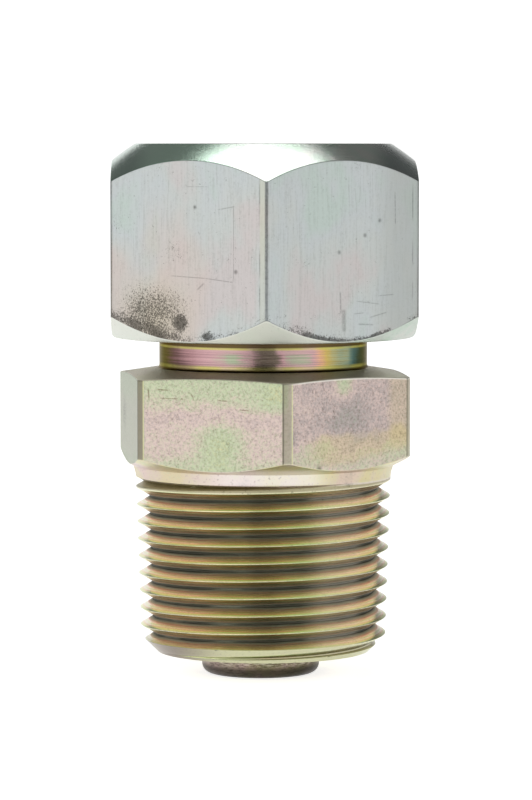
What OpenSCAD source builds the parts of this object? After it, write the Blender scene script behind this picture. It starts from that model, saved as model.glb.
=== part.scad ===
// Spring loaded vent cap for a tapered pipe port.
// The axis is Z. The origin is the centre of the pipe thread's end face.

/* [Pipe thread] */
// Pitch of the tapered pipe thread
pipe_pitch = 1.8143; // [1.6:0.0001:2]
// Crest diameter where the thread meets the collar
pipe_crest_d = 26.96; // [26.6:0.01:27.4]
// Loss of diameter for each unit of length, 1 in 16
pipe_taper = 0.0625; // [0.04:0.0005:0.08]
// Depth of the thread from crest to root
pipe_thread_depth = 1.42; // [1.1:0.01:1.5]
// Width of the flat at the root
pipe_root_flat = 0.12; // [0.08:0.01:0.2]
// Height of the collar's lower edge over the end face
pipe_thread_l = 18.8; // [17:0.1:21]
// Diameter of the end face inside its 45 degree chamfer
pipe_end_d = 22.5; // [22:0.1:24]
// Share of a turn over which the last groove fades out
pipe_runout_share = 0.53; // [0.3:0.01:0.8]
// Facets round one turn of the thread
pipe_segments = 48; // [32:4:60]

/* [Collar under the hexagon] */
// Diameter where the collar meets the thread
collar_low_d = 27; // [26.98:0.02:27.8]
// Diameter where the collar meets the hexagon
collar_d = 27.5; // [27.2:0.05:28.2]
// Height of the collar
collar_h = 0.85; // [0.7:0.05:2]

/* [Body hexagon] */
// Size across the flats
body_hex_af = 28.575; // [28.2:0.005:30.2]
// Diameter to which the corners are turned
body_turned_d = 32.5; // [31.5:0.1:32.9]
// Height from the collar to the neck
body_hex_h = 10.3; // [8:0.1:14]
// Fall of the crowned top from the neck to the corners
body_crown_drop = 0.78; // [0.3:0.01:1.5]
// Height of the chamfer under the corners
body_chamfer_h = 1.27; // [0.8:0.01:2]
// Turn of the corners from the front, in degrees
body_hex_turn = 8.8; // [-30:0.1:30]

/* [Neck] */
// Diameter of the neck
neck_d = 21.9; // [21.2:0.05:23]
// Open length of the neck between the hexagon and the cap
neck_gap = 3.2; // [1:0.1:6]
// Length of the neck that goes on inside the cap
neck_hidden_l = 1.5; // [0.8:0.1:3]
// Fillet at the foot of the neck
neck_fillet_r = 0.35; // [0.1:0.05:0.6]

/* [Cap thread] */
// Outer diameter of the thread that holds the cap
cap_thread_d = 26.99; // [26.6:0.01:27.6]
// Pitch of the thread that holds the cap
cap_thread_pitch = 2.1167; // [1.5:0.0001:2.3]
// Length of the thread on the body
cap_thread_l = 11.7; // [9:0.1:14]
// Running gap between cap and body at the pitch diameter
cap_thread_gap = 0.1; // [0.05:0.01:0.2]
// Turns that free the cap
cap_turns = 5.5; // [4:0.5:6]

/* [Cap] */
// Size across the flats
cap_hex_af = 31.75; // [31:0.05:34]
// Diameter to which the corners are turned
cap_turned_d = 36.5; // [35.4:0.1:36.6]
// Height of the cap
cap_h = 20.3; // [20:0.1:26]
// Diameter of the flat top
cap_top_d = 26.96; // [22:0.02:29]
// Height of the chamfer over the corners
cap_top_chamfer_h = 3.84; // [2:0.01:5]
// Swell of the top chamfer over a straight cone
cap_chamfer_bulge = 0.16; // [0:0.01:0.3]
// Diameter of the cap's lower rim
cap_rim_d = 31.9; // [30:0.1:32]
// Height of the chamfer under the corners
cap_low_chamfer_h = 2.43; // [1.5:0.01:3.5]
// Radius of the lower rim's edge
cap_rim_r = 0.35; // [0.1:0.05:0.6]
// Turn of the corners from the front, in degrees
cap_hex_turn = 1.1; // [-30:0.1:30]
// Diameter of the vent hole in the top
vent_hole_d = 12; // [8:0.1:14]
// Chamfer on the edges of the holes in the cap
cap_edge_c = 0.4; // [0.2:0.05:0.8]
// Diameter of the space under the vent hole
outlet_d = 19; // [16:0.1:21]
// Height of the space under the vent hole
outlet_h = 1.25; // [1:0.05:3]

/* [Screen pack] */
// Outer diameter of gasket, stop plate and screen
pack_d = 24.6; // [24:0.1:25.2]
// Gap round the pack in its recess
pack_gap = 0.1; // [0.05:0.01:0.3]
// Thickness of the gasket
gasket_t = 1; // [0.5:0.1:2]
// Inner diameter of the gasket
gasket_in_d = 19.6; // [19.2:0.1:22]
// Thickness of the stop plate
plate_t = 1.2; // [0.8:0.1:2]
// Diameter of the holes in the stop plate
plate_hole_d = 3.4; // [2:0.1:4.4]
// Diameter of the ring of holes
plate_circle_d = 14.4; // [12:0.1:15]
// Number of holes in the stop plate
plate_holes = 8; // [5:1:9]
// Thickness of the wire screen
screen_t = 0.4; // [0.2:0.05:0.6]
// Width of a wire in the screen
screen_wire_w = 0.5; // [0.3:0.05:0.8]
// Pitch of the wires in the screen
screen_pitch = 2; // [1.8:0.1:3]
// Width of the screen's soldered rim
screen_rim_w = 0.8; // [0.5:0.1:2]

/* [Bore of the body] */
// Diameter of the inlet bore
inlet_d = 14.5; // [14:0.1:16]
// Depth of the inlet bore from the end face
inlet_l = 26.2; // [22:0.1:28]
// Chamfer at the mouth of the inlet bore
inlet_edge_c = 0.5; // [0.2:0.05:0.9]
// Diameter of the throat under the seat
throat_d = 12.6; // [12:0.1:13.4]
// Diameter of the seat chamber
chamber_d = 19.2; // [18:0.1:20]
// Depth of the seat chamber from the top of the body
chamber_l = 6.8; // [6.4:0.1:9]
// Outer diameter of the raised seat
seat_d = 14.6; // [14:0.1:15.4]
// Height of the raised seat
seat_h = 0.8; // [0.4:0.1:1.4]

/* [Valve] */
// Lift of the valve
valve_lift = 2.5; // [1:0.1:3]
// Gap left between valve and stop plate at full lift
stop_gap = 0.05; // [0.02:0.01:0.2]
// Diameter of the valve head
head_d = 16.6; // [16.4:0.1:17.6]
// Thickness of the head over the seal
head_t = 1.6; // [1:0.1:2]
// Diameter of the boss that meets the stop plate
boss_d = 4.4; // [3:0.1:6]
// Width of the driver slot in the boss
slot_w = 1; // [0.6:0.1:1.4]
// Depth of the driver slot
slot_l = 0.7; // [0.3:0.05:1]
// Diameter of the stem
stem_d = 5; // [4.4:0.1:5.2]
// Diameter of the stem's threaded end
stem_end_d = 4; // [3.4:0.1:4.2]
// Length of the stem's threaded end
stem_end_l = 9; // [7:0.1:14]
// Chamfer of the stem's end
stem_end_c = 0.4; // [0.2:0.05:0.6]

/* [Valve seal] */
// Thickness of the rubber seal
seal_t = 1.6; // [1:0.1:2]
// Outer diameter of the rubber seal
seal_d = 15.7; // [15.5:0.05:16]
// Height of the seal that stands out of the head
seal_out = 0.4; // [0.2:0.05:0.8]
// Gap round the seal and round loose rings on the stem
ring_gap = 0.06; // [0.03:0.01:0.12]
// Diameter of the washer that holds the seal
retainer_d = 10.4; // [8.6:0.1:11.4]
// Thickness of the washer that holds the seal
retainer_t = 0.8; // [0.5:0.05:1.2]
// Diameter of the clip under that washer
clip_d = 8; // [7:0.1:9]
// Thickness of the clip
clip_t = 0.6; // [0.4:0.05:0.8]
// Diameter of the groove that holds the clip
clip_groove_d = 3.9; // [3.4:0.1:4.2]
// Width of the clip's open side
clip_mouth_w = 3.4; // [2.6:0.1:3.6]

/* [Stem guide] */
// Thickness of the guide's rim and arms
guide_t = 3.5; // [2.5:0.1:5]
// Width of the guide's rim
guide_rim_w = 1.3; // [0.8:0.1:1.8]
// Diameter of the guide's hub
hub_d = 7.8; // [7:0.1:8]
// Length of the guide's hub
hub_l = 6.5; // [5:0.1:9]
// Width of an arm
arm_w = 2.2; // [1.4:0.1:3]
// Number of arms
arms = 3; // [3:1:4]
// Running gap between stem and guide, and guide and bore
guide_gap = 0.05; // [0.03:0.01:0.1]

/* [Valve spring] */
// Diameter of the spring wire
wire_d = 1.2; // [0.9:0.05:1.25]
// Mean diameter of the coils
coil_d = 9.4; // [9.3:0.05:9.6]
// Number of coils
coils = 9; // [7:0.5:10]

/* [Spring cup] */
// Diameter of the cup that shows under the thread
cup_d = 12.4; // [12.2:0.1:12.8]
// Length of the cup that stands out of the thread's end
cup_out = 2.4; // [2.2:0.1:5]
// Height of the cup
cup_h = 7.6; // [6.5:0.1:10]
// Diameter of the cup's inside
cup_in_d = 11.2; // [11.1:0.05:11.4]
// Thickness of the web inside the cup
web_t = 1.6; // [1:0.1:2]
// Diameter of the hole in the web, loose on the stem
web_hole_d = 4.7; // [4.6:0.1:5.4]
// Diameter of the recess for the lock nut
recess_d = 9.4; // [9:0.1:9.8]
// Depth of the recess for the lock nut
recess_l = 2.8; // [2.7:0.1:3.4]
// Radius of the cup's lower edge
cup_edge_r = 1; // [0.3:0.05:1.2]
// Sideways rest of the loose cup on the stem
cup_shift = 0.28; // [0:0.01:0.29]

/* [Lock nut] */
// Size of the nut across the flats
nut_af = 7; // [6:0.1:7]
// Thickness of the nut
nut_t = 2.1; // [1.6:0.1:2.1]
// Diameter of the lock washer
washer_d = 7.6; // [6.6:0.1:8.4]
// Thickness of the lock washer
washer_t = 0.5; // [0.3:0.05:0.5]

/* [Hidden] */
// Facets of round surfaces
$fn = 96;
// Facets of a small arc in an outline
arc_steps = 6;
// Overrun of every cut
over = 1.5 * neck_fillet_r;
// Share of the pitch between the outer and the pitch diameter of a thread
thread_half_share = 0.32476;
// Full depth of an outer thread as a share of the pitch
thread_full_share = 0.6134;

// Heights of the body, from the end face up
z_collar = pipe_thread_l;
z_hex = z_collar + collar_h;
z_neck = z_hex + body_hex_h;
z_cap = z_neck + neck_gap;
z_relief = z_cap + neck_hidden_l;
z_end = z_relief + cap_thread_l;
// Heights of the pack over the body, and of the cap
z_plate = z_end + gasket_t;
z_screen = z_plate + plate_t;
z_shoulder = z_screen + screen_t;
z_outlet = z_shoulder + outlet_h;
z_top = z_cap + cap_h;
// Heights of the seat and of the valve at rest
z_floor = z_end - chamber_l;
z_seat = z_floor + seat_h;
z_head = z_seat + seal_out;
z_seal_top = z_seat + seal_t;
z_head_top = z_seal_top + head_t;
z_boss = z_plate - valve_lift - stop_gap;
z_retainer = z_seat - retainer_t;
z_clip = z_retainer - clip_t;
// Heights of the cup, the nut and the spring
z_cup = -cup_out;
z_web = z_cup + recess_l;
z_web_top = z_web + web_t;
z_washer = z_web - washer_t;
z_nut = z_washer - nut_t;
z_guide = inlet_l - guide_t;

// Radius at the pitch line of the cap's thread, on the body
cap_pitch_r = cap_thread_d / 2 - thread_half_share * cap_thread_pitch;
// Radius at the root of the cap's thread
cap_root_r = cap_thread_d / 2 - thread_full_share * cap_thread_pitch;

// Points of a quarter arc about a centre, from one angle to another
function arc(c, r, a, b) = [for (i = [0:arc_steps]) let (t = a + (b - a) * i / arc_steps)
    [c[0] + r * cos(t), c[1] + r * sin(t)]];

// Points between two places, swollen to the left of the way by a bulge
function swell(p, q, bulge) = let (d = q - p, n = [-d[1], d[0]] / norm(d))
    [for (i = [0:arc_steps]) let (t = i / arc_steps) p + t * d + 4 * t * (1 - t) * bulge * n];

// Helical groove of the tapered pipe thread, cut round a solid core.
// It starts one groove under the end face and fades out at the right of the collar.
pipe_turns = ceil(pipe_thread_l / pipe_pitch) + 1;
pipe_steps = pipe_turns * pipe_segments;
z_fade = z_collar + pipe_pitch / 6;
flank_share = tan(30);
function crest_r(z) = pipe_crest_d / 2 - (z_collar - z) * pipe_taper / 2;
function groove_z(i) = z_fade - pipe_pitch * (pipe_steps - i) / pipe_segments;
function groove_depth(i) = pipe_thread_depth
    * (1 - exp(-(pipe_steps - i) / pipe_segments / pipe_runout_share));
function groove_point(i, k) = let (a = 360 * (i - pipe_steps) / pipe_segments,
    d = groove_depth(i),
    side = k < 2 ? -1 : 1,
    edge = k == 0 || k == 3,
    z = groove_z(i) + side * (pipe_root_flat / 2 + (edge ? d * flank_share : 0)),
    r = crest_r(z) - (edge ? 0 : d)) [r * cos(a), r * sin(a), z];
function groove_id(i, k) = 4 * i + k;

module pipe_thread() {
    last = pipe_steps;
    turn = pipe_segments;
    low = 4 * (last + 1);
    high = low + 1;
    points = concat([for (i = [0:last]) for (k = [0:3]) groove_point(i, k)],
                    [[0, 0, groove_z(0)], [0, 0, groove_z(last)]]);
    // Lower flank, root and upper flank of the groove
    groove = [for (i = [0:last - 1]) for (k = [0:2]) each [
        [groove_id(i, k), groove_id(i + 1, k + 1), groove_id(i + 1, k)],
        [groove_id(i, k), groove_id(i, k + 1), groove_id(i + 1, k + 1)]]];
    // Crest between one turn of the groove and the next
    crest = [for (i = [0:last - turn - 1]) each [
        [groove_id(i, 3), groove_id(i + turn + 1, 0), groove_id(i + 1, 3)],
        [groove_id(i, 3), groove_id(i + turn, 0), groove_id(i + turn + 1, 0)]]];
    floor_fan = [for (i = [0:turn - 1]) [low, groove_id(i, 0), groove_id(i + 1, 0)]];
    roof_fan = [for (i = [last - turn:last - 1]) [high, groove_id(i + 1, 3), groove_id(i, 3)]];
    steps = [[low, groove_id(turn, 0), groove_id(0, 3), groove_id(0, 2), groove_id(0, 1), groove_id(0, 0)],
             [high, groove_id(last - turn, 3), groove_id(last, 0), groove_id(last, 1),
              groove_id(last, 2), groove_id(last, 3)]];
    intersection() {
        polyhedron(points = points, faces = concat(groove, crest, floor_fan, roof_fan, steps),
                   convexity = 10);
        // End face and its chamfer
        rotate_extrude() polygon([[0, 0], [pipe_end_d / 2, 0],
            [pipe_end_d / 2 + z_neck, z_neck], [0, z_neck]]);
    }
}

module body_hexagon() {
    intersection() {
        translate([0, 0, z_collar]) rotate(body_hex_turn + 30)
            cylinder(d = body_hex_af / cos(30), h = z_neck - z_collar, $fn = 6);
        rotate_extrude() polygon([[0, z_hex], [collar_d / 2, z_hex],
            [body_turned_d / 2, z_hex + body_chamfer_h], [body_turned_d / 2, z_neck - body_crown_drop],
            [neck_d / 2, z_neck], [0, z_neck]]);
    }
}

// Collar, neck and threaded top of the body, solid
module body_turning() {
    neck_r = neck_d / 2;
    rotate_extrude() polygon(concat(
        [[0, z_collar], [collar_low_d / 2, z_collar], [collar_d / 2, z_hex], [collar_d / 2, z_hex + over],
         [neck_r + neck_fillet_r, z_hex + over]],
        arc([neck_r + neck_fillet_r, z_neck + neck_fillet_r], neck_fillet_r, 270, 180),
        [[neck_r, z_relief], [cap_root_r, z_relief + (cap_root_r - neck_r) / 2],
         [cap_pitch_r, z_relief + cap_pitch_r - neck_r],
         [cap_pitch_r, z_end - cap_thread_pitch / 2], [cap_root_r, z_end - cap_edge_c], [cap_root_r - cap_edge_c, z_end],
         [0, z_end]]));
}

// Inlet bore, throat and seat chamber
module body_bore() {
    rotate_extrude() polygon([[0, -over], [inlet_d / 2 + inlet_edge_c + over, -over],
        [inlet_d / 2, inlet_edge_c], [inlet_d / 2, inlet_l], [throat_d / 2, inlet_l],
        [throat_d / 2, z_seat], [throat_d / 2, z_end + over], [0, z_end + over]]);
    difference() {
        translate([0, 0, z_floor]) cylinder(d = chamber_d, h = chamber_l + over);
        translate([0, 0, z_floor - over]) cylinder(d = seat_d, h = seat_h + over);
    }
}

module body() {
    color([0.72, 0.68, 0.48]) difference() {
        union() {
            pipe_thread();
            body_turning();
            body_hexagon();
        }
        body_bore();
    }
}

// Outline of the cap's turned blank, with both chamfers
module cap_blank() {
    corner_r = cap_turned_d / 2;
    rim_r = cap_rim_d / 2;
    rotate_extrude() polygon(concat(
        [[0, z_cap]],
        arc([rim_r - cap_rim_r, z_cap + cap_rim_r], cap_rim_r, 270, 315),
        [[corner_r, z_cap + cap_low_chamfer_h]],
        swell([corner_r, z_top - cap_top_chamfer_h], [cap_top_d / 2, z_top], -cap_chamfer_bulge),
        [[0, z_top]]));
}

// Threaded bore, pack recess, outlet space and vent hole of the cap
module cap_inside() {
    bore_r = cap_pitch_r + cap_thread_gap;
    mouth_r = cap_thread_d / 2 + cap_edge_c;
    pack_r = pack_d / 2 + pack_gap;
    vent_r = vent_hole_d / 2;
    rotate_extrude() polygon([[0, z_cap - over], [mouth_r + over, z_cap - over],
        [bore_r, z_cap + mouth_r - bore_r], [bore_r, z_end - cap_edge_c], [pack_r, z_end - cap_edge_c],
        [pack_r, z_shoulder], [outlet_d / 2, z_shoulder], [outlet_d / 2, z_outlet],
        [vent_r, z_outlet], [vent_r, z_top - cap_edge_c], [vent_r + cap_edge_c + over, z_top + over],
        [0, z_top + over]]);
}

module cap() {
    color([0.78, 0.79, 0.78]) difference() {
        intersection() {
            translate([0, 0, z_cap]) rotate(cap_hex_turn + 30)
                cylinder(d = cap_hex_af / cos(30), h = cap_h, $fn = 6);
            cap_blank();
        }
        cap_inside();
    }
}

// Flat ring on a given floor
module ring(outer_d, inner_d, t, z) {
    translate([0, 0, z]) linear_extrude(t) difference() {
        circle(d = outer_d);
        circle(d = inner_d);
    }
}

module cap_gasket() {
    color([0.25, 0.3, 0.28]) ring(pack_d, gasket_in_d, gasket_t, z_end);
}

module stop_plate() {
    color([0.8, 0.7, 0.4]) translate([0, 0, z_plate]) linear_extrude(plate_t) difference() {
        circle(d = pack_d);
        for (i = [0:plate_holes - 1]) rotate(360 * i / plate_holes)
            translate([plate_circle_d / 2, 0]) circle(d = plate_hole_d);
    }
}

module vent_screen() {
    rows = floor(pack_d / 2 / screen_pitch);
    color([0.6, 0.6, 0.6]) translate([0, 0, z_screen]) linear_extrude(screen_t) {
        difference() {
            circle(d = pack_d);
            circle(d = pack_d - 2 * screen_rim_w);
        }
        intersection() {
            circle(d = pack_d - screen_rim_w);
            for (turn = [0, 90]) rotate(turn) for (i = [-rows:rows])
                translate([0, i * screen_pitch]) square([pack_d, screen_wire_w], center = true);
        }
    }
}

// Head with its seal pocket, boss, driver slot, stem, clip groove and threaded end
module valve_poppet() {
    stem_r = stem_d / 2;
    end_r = stem_end_d / 2;
    head_r = head_d / 2;
    groove_r = clip_groove_d / 2;
    pocket_r = seal_d / 2 + ring_gap;
    z_step = z_nut + stem_end_l;
    color([0.82, 0.7, 0.38]) difference() {
        rotate_extrude() polygon([[0, z_nut], [end_r - stem_end_c, z_nut], [end_r, z_nut + stem_end_c],
            [end_r, z_step], [stem_r, z_step + stem_r - end_r], [stem_r, z_clip], [groove_r, z_clip],
            [groove_r, z_retainer], [stem_r, z_retainer], [stem_r, z_seal_top], [pocket_r, z_seal_top],
            [pocket_r, z_head], [head_r, z_head], [head_r, z_head_top - head_t / 4],
            [head_r - head_t / 2, z_head_top], [boss_d / 2, z_head_top], [boss_d / 2, z_boss], [0, z_boss]]);
        translate([-boss_d, -slot_w / 2, z_boss - slot_l]) cube([2 * boss_d, slot_w, slot_l + over]);
    }
}

module valve_seal() {
    color([0.12, 0.12, 0.12]) ring(seal_d, stem_d + 2 * ring_gap, seal_t, z_seat);
}

module seal_retainer() {
    color([0.75, 0.75, 0.75]) ring(retainer_d, stem_d + 2 * ring_gap, retainer_t, z_retainer);
}

module retaining_clip() {
    color([0.3, 0.3, 0.32]) translate([0, 0, z_clip]) linear_extrude(clip_t) difference() {
        circle(d = clip_d);
        circle(d = clip_groove_d + 2 * ring_gap);
        translate([0, -clip_mouth_w / 2]) square([clip_d, clip_mouth_w]);
    }
}

// Rim, arms and hub of the guide that centres the stem
module stem_guide() {
    rim_r = inlet_d / 2 - guide_gap;
    hub_r = hub_d / 2;
    color([0.8, 0.68, 0.36]) difference() {
        union() {
            ring(2 * rim_r, 2 * (rim_r - guide_rim_w), guide_t, z_guide);
            translate([0, 0, inlet_l - hub_l]) cylinder(r = hub_r, h = hub_l);
            for (i = [0:arms - 1]) rotate(360 * i / arms + 90)
                translate([hub_r / 2, -arm_w / 2, z_guide])
                    cube([rim_r - guide_rim_w / 2 - hub_r / 2, arm_w, guide_t]);
        }
        translate([0, 0, inlet_l - hub_l - over])
            cylinder(r = stem_d / 2 + guide_gap, h = hub_l + 2 * over);
    }
}

// Compression spring with one closed coil at each end
spring_steps = 16;
spring_sides = 8;
spring_h = z_guide - z_web_top;
function spring_z(t) = let (rise = (spring_h - 3 * wire_d) / (coils - 2))
    z_web_top + wire_d / 2 + wire_d * min(t, 1) + rise * max(0, min(t - 1, coils - 2))
    + wire_d * max(0, t - coils + 1);
function spring_point(i, k) = let (t = i / spring_steps, a = 360 * t, b = 360 * k / spring_sides,
    r = coil_d / 2 + wire_d / 2 * cos(b)) [r * cos(a), r * sin(a), spring_z(t) + wire_d / 2 * sin(b)];

module valve_spring() {
    last = floor(coils * spring_steps);
    n = spring_sides;
    points = [for (i = [0:last]) for (k = [0:n - 1]) spring_point(i, k)];
    skin = [for (i = [0:last - 1]) for (k = [0:n - 1]) let (m = (k + 1) % n) each [
        [i * n + k, i * n + n + m, i * n + n + k],
        [i * n + k, i * n + m, i * n + n + m]]];
    ends = [[for (k = [n - 1:-1:0]) k], [for (k = [0:n - 1]) last * n + k]];
    color([0.66, 0.68, 0.7]) polyhedron(points = points, faces = concat(skin, ends), convexity = 10);
}

// Cup that carries the spring, with the lock nut's recess in its underside
module spring_cup() {
    cup_r = cup_d / 2;
    in_r = cup_in_d / 2;
    rec_r = recess_d / 2;
    hole_r = web_hole_d / 2;
    z_rim = z_cup + cup_h;
    color([0.62, 0.55, 0.45]) translate([-cup_shift, 0, 0]) rotate_extrude() polygon(concat(
        [[rec_r, z_cup]],
        arc([cup_r - cup_edge_r, z_cup + cup_edge_r], cup_edge_r, 270, 360),
        [[cup_r, z_rim], [in_r, z_rim], [in_r, z_web_top], [hole_r, z_web_top], [hole_r, z_web], [rec_r, z_web]]));
}

module lock_washer() {
    color([0.7, 0.7, 0.7]) ring(washer_d, stem_end_d + 2 * ring_gap, washer_t, z_washer);
}

module lock_nut() {
    corner_r = nut_af / 2 / cos(30);
    c = corner_r - nut_af / 2;
    color([0.74, 0.74, 0.72]) difference() {
        intersection() {
            translate([0, 0, z_nut]) rotate(30) cylinder(r = corner_r, h = nut_t, $fn = 6);
            rotate_extrude() polygon([[0, z_nut], [nut_af / 2, z_nut], [corner_r + c, z_nut + c],
                [corner_r + c, z_washer - c], [nut_af / 2, z_washer], [0, z_washer]]);
        }
        translate([0, 0, z_nut - over]) cylinder(r = stem_end_d / 2 + ring_gap, h = nut_t + 2 * over);
    }
}

body();
cap();
cap_gasket();
stop_plate();
vent_screen();
valve_poppet();
valve_seal();
seal_retainer();
retaining_clip();
stem_guide();
valve_spring();
spring_cup();
lock_washer();
lock_nut();
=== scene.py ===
"""Spring loaded vent cap for a tapered pipe port: the visible pieces, their finishes and a plain studio."""

import math
from functools import cached_property

import bmesh
import bpy
import numpy as np
from bpy.props import FloatProperty, FloatVectorProperty, IntProperty, PointerProperty
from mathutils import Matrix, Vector


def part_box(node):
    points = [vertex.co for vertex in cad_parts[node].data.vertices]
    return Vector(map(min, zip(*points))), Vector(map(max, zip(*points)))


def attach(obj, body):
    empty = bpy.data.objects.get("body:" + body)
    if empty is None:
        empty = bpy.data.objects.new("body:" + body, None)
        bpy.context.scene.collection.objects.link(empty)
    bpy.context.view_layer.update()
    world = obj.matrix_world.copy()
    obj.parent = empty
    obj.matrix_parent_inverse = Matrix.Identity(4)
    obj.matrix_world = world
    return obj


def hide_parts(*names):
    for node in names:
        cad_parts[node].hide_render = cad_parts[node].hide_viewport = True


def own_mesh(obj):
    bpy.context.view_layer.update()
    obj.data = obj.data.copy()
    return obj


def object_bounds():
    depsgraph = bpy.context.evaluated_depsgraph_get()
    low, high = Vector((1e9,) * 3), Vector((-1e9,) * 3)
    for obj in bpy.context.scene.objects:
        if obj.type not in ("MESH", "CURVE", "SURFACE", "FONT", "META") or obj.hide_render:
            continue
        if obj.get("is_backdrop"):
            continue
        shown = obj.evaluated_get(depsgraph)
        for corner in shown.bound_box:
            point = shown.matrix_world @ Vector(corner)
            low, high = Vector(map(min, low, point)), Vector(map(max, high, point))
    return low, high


bl_info = {
    "name": "Vent cap maker",
    "version": (1, 0, 0),
    "blender": (4, 5, 0),
    "location": "3D View > Sidebar > Vent cap",
    "description": "Makes the pieces of a vent cap for a pipe port, their finishes and a studio stage",
    "category": "Object",
}

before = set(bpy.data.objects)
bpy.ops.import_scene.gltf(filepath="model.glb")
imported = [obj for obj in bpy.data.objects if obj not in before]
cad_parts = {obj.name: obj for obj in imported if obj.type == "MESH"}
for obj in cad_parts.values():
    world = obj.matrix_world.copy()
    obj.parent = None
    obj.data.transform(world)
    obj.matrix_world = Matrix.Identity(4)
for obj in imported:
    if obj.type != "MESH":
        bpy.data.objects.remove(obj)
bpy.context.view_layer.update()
TAU = 2 * math.pi
TAN30 = math.tan(math.radians(30))
TINY = 1e-9


# ---------------------------------------------------------------- sizes and colours

def linear(colour):
    """Linear RGB of an sRGB hex colour such as "C8CDCB"; a grey level or RGB is taken as linear already."""
    if isinstance(colour, str):
        parts = [int(colour[i:i + 2], 16) / 255 for i in (0, 2, 4)]
        return [c / 12.92 if c <= 0.04045 else ((c + 0.055) / 1.055) ** 2.4 for c in parts]
    return [colour] * 3 if isinstance(colour, (int, float)) else list(colour)


def size(name, description, millimetres):
    """Property for a length; the default is given in millimetres and kept in metres."""
    return FloatProperty(name=name, description=description, default=millimetres / 1000,
                         min=0.0, unit='LENGTH', precision=6)


def tint(name, description, hex_colour):
    """Property for a colour, given as an sRGB hex value."""
    return FloatVectorProperty(name=name, description=description, default=linear(hex_colour),
                               size=3, min=0.0, max=1.0, subtype='COLOR')


class VentCapPipeThread(bpy.types.PropertyGroup):
    pitch: size("Pitch", "Rise of the pipe thread in one turn", 1.8143)
    crest_d: size("Crest diameter", "Diameter over the crests where the thread meets the collar", 26.96)
    depth: size("Depth", "Depth of the groove from crest to root", 1.42)
    root_flat: size("Root flat", "Width of the flat at the bottom of the groove", 0.12)
    length: size("Length", "Length of the thread up to the collar", 18.8)
    foot_h: size("Foot height", "How far the collar's foot reaches down over the thread", 0.30)
    foot_slope: FloatProperty(name="Foot slope", description="Loss of the foot's radius for each unit of height",
                              default=2.0, min=0.5, max=3.0)
    end_d: size("End diameter", "Diameter of the end face inside its 45 degree chamfer", 22.5)
    taper: FloatProperty(name="Taper", description="Loss of diameter for each unit of length",
                         default=1 / 16, min=0.0, max=0.2)
    runout: FloatProperty(name="Run-out", description="Share of a turn over which the last groove fades",
                          default=0.27, min=0.05, max=2.0)


class VentCapBody(bpy.types.PropertyGroup):
    collar_low_d: size("Collar, low", "Diameter of the collar at the thread", 27.0)
    collar_d: size("Collar, high", "Diameter of the collar at the hexagon", 27.5)
    collar_h: size("Collar height", "Height of the collar", 0.85)
    across_flats: size("Across flats", "Size of the hexagon across its flats", 28.575)
    turned_d: size("Turned diameter", "Diameter to which the corners are turned", 32.5)
    hex_h: size("Hexagon height", "Height from the collar to the neck", 10.3)
    crown_drop: size("Crown drop", "Fall of the crowned top from the neck to the corners", 0.78)
    chamfer_h: size("Lower chamfer", "Height of the chamfer under the corners", 1.27)
    neck_d: size("Neck diameter", "Diameter of the neck under the cap", 21.9)
    neck_h: size("Neck height", "Height of the neck up to the cap's thread", 4.7)
    fillet: size("Neck fillet", "Radius at the foot of the neck", 0.35)
    edge: size("Broken edge", "Distance over which the milled edges are rounded", 0.11)
    turn: FloatProperty(name="Turn", description="Turn of a corner from the front", subtype='ANGLE',
                        default=math.radians(8.8), min=-0.6, max=0.6)


class VentCapBore(bpy.types.PropertyGroup):
    inlet_d: size("Inlet", "Diameter of the inlet bore", 14.5)
    inlet_h: size("Inlet depth", "Depth of the inlet bore from the end face", 26.2)
    inlet_edge: size("Inlet chamfer", "Chamfer at the mouth of the inlet bore", 0.5)
    throat_d: size("Throat", "Diameter of the throat under the seat", 12.6)
    seat_d: size("Seat", "Outer diameter of the raised seat", 14.6)
    seat_h: size("Seat height", "Height of the raised seat", 0.8)
    chamber_d: size("Seat chamber", "Diameter of the chamber round the seat", 19.2)
    chamber_h: size("Chamber depth", "Depth of the seat chamber from the body's upper end", 6.8)


class VentCapCapThread(bpy.types.PropertyGroup):
    pitch: size("Pitch", "Rise of the cap's thread in one turn", 2.1167)
    crest_d: size("Crest diameter", "Diameter over the crests on the body", 26.99)
    depth: size("Depth", "Depth of the groove", 1.298)
    root_flat: size("Root flat", "Width of the flat at the bottom of the groove", 0.354)
    gap: size("Radial gap", "Gap between the thread in the cap and the one on the body", 0.12)
    top: size("Body top", "Height of the body's upper end over the pipe thread's end face", 46.35)
    lead: size("Lead-in", "Height and depth of the chamfer at the body's upper end", 0.4)
    relief: size("End relief", "How far the plain end of the thread lies under its roots", 0.1)


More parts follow.
